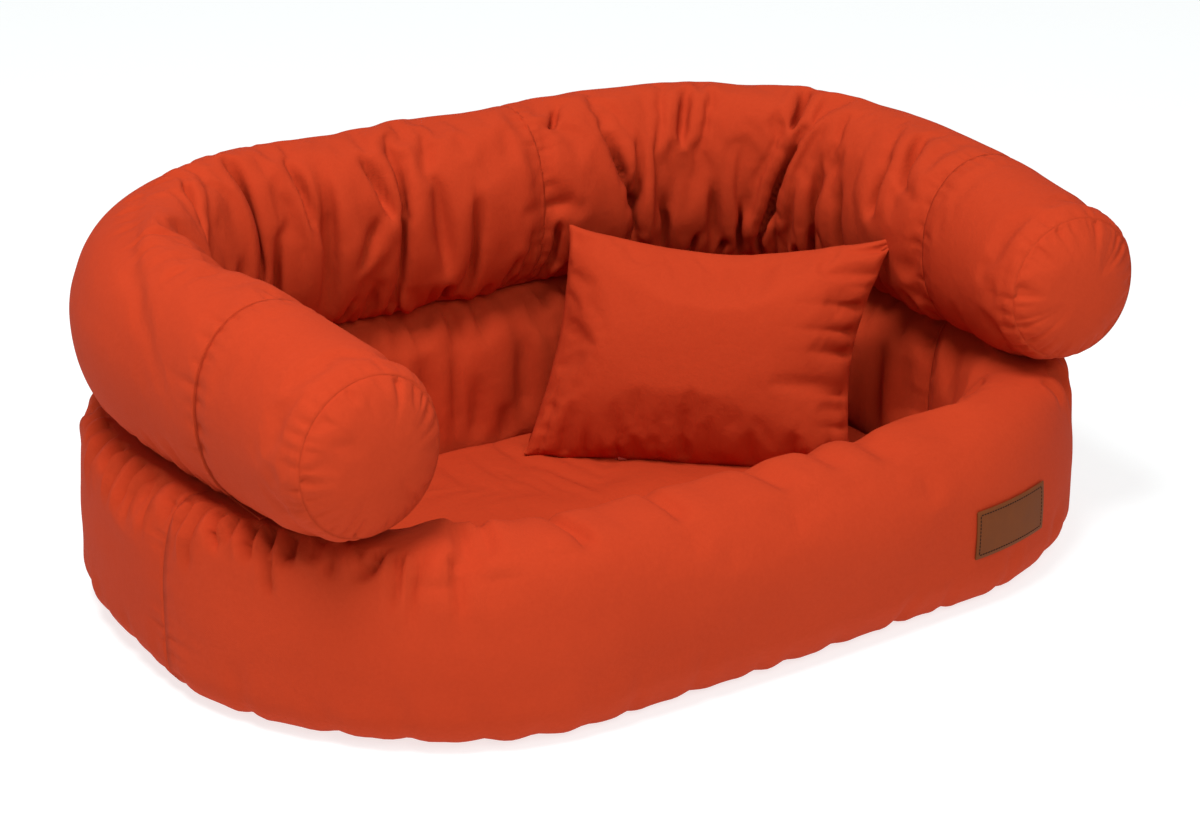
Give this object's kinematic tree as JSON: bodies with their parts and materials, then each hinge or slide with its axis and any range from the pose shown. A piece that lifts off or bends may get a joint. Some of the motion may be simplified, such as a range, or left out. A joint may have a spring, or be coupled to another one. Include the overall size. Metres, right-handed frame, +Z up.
{
  "type": "armchair dog bed",
  "caption": "Sofa-shaped pet bed: a stuffed wall round a lying well, a stuffed roll on top for back and arms, a loose seat cushion and a loose pillow, in plain canvas.",
  "frame": {"origin": "on the floor, under the middle of the bed's outline in plan", "axes": "+Z up, the open front towards -Y, +X to the right of someone who stands in front and looks at it"},
  "size_m": [1, 0.7023, 0.376],
  "materials": {
    "orange_canvas": "matte",
    "fibre_filling": "matte",
    "non_slip_cloth": "matte",
    "zip_ribbon": "matte",
    "zip_coil_nylon": "satin",
    "zip_slider_metal": "satin",
    "label_leather": "matte",
    "label_thread": "matte"
  },
  "bodies": {
    "bed": {"base_panel": "non_slip_cloth", "front_wall_cover": "orange_canvas", "front_wall_filling": "fibre_filling", "rear_wall_cover": "orange_canvas", "rear_wall_filling": "fibre_filling", "roll_joining_tape": "orange_canvas", "left_arm_cover": "orange_canvas", "right_arm_cover": "orange_canvas", "left_arm_filling": "fibre_filling", "right_arm_filling": "fibre_filling", "left_end_disc": "orange_canvas", "right_end_disc": "orange_canvas", "left_back_cover": "orange_canvas", "right_back_cover": "orange_canvas", "left_back_filling": "fibre_filling", "right_back_filling": "fibre_filling", "label_patch": "label_leather", "label_stitching": "label_thread"},
    "seat_cushion": {"seat_cushion_cover": "orange_canvas", "seat_cushion_filling": "fibre_filling", "seat_zip_tape": "zip_ribbon", "seat_zip_coil": "zip_coil_nylon"},
    "pillow": {"pillow_cover": "orange_canvas", "pillow_filling": "fibre_filling", "pillow_zip_tape": "zip_ribbon", "pillow_zip_coil": "zip_coil_nylon"},
    "seat_slider": {"seat_zip_slider": "zip_slider_metal"},
    "pillow_slider": {"pillow_zip_slider": "zip_slider_metal"}
  },
  "joints": [
    {"name": "seat_cushion_lift", "type": "slide", "parent": "bed", "child": "seat_cushion", "axis": [0, 0, 1], "range_m": [0, 0.14]},
    {"name": "pillow_lift", "type": "slide", "parent": "seat_cushion", "child": "pillow", "axis": [0, 0, 1], "range_m": [0, 0.25]},
    {"name": "seat_zip_travel", "type": "slide", "parent": "seat_cushion", "child": "seat_slider", "axis": [1, 0, 0], "range_m": [0, 0.365]},
    {"name": "pillow_zip_travel", "type": "slide", "parent": "pillow", "child": "pillow_slider", "axis": [0.7193, -0.6947, 0], "range_m": [0, 0.155]}
  ]
}
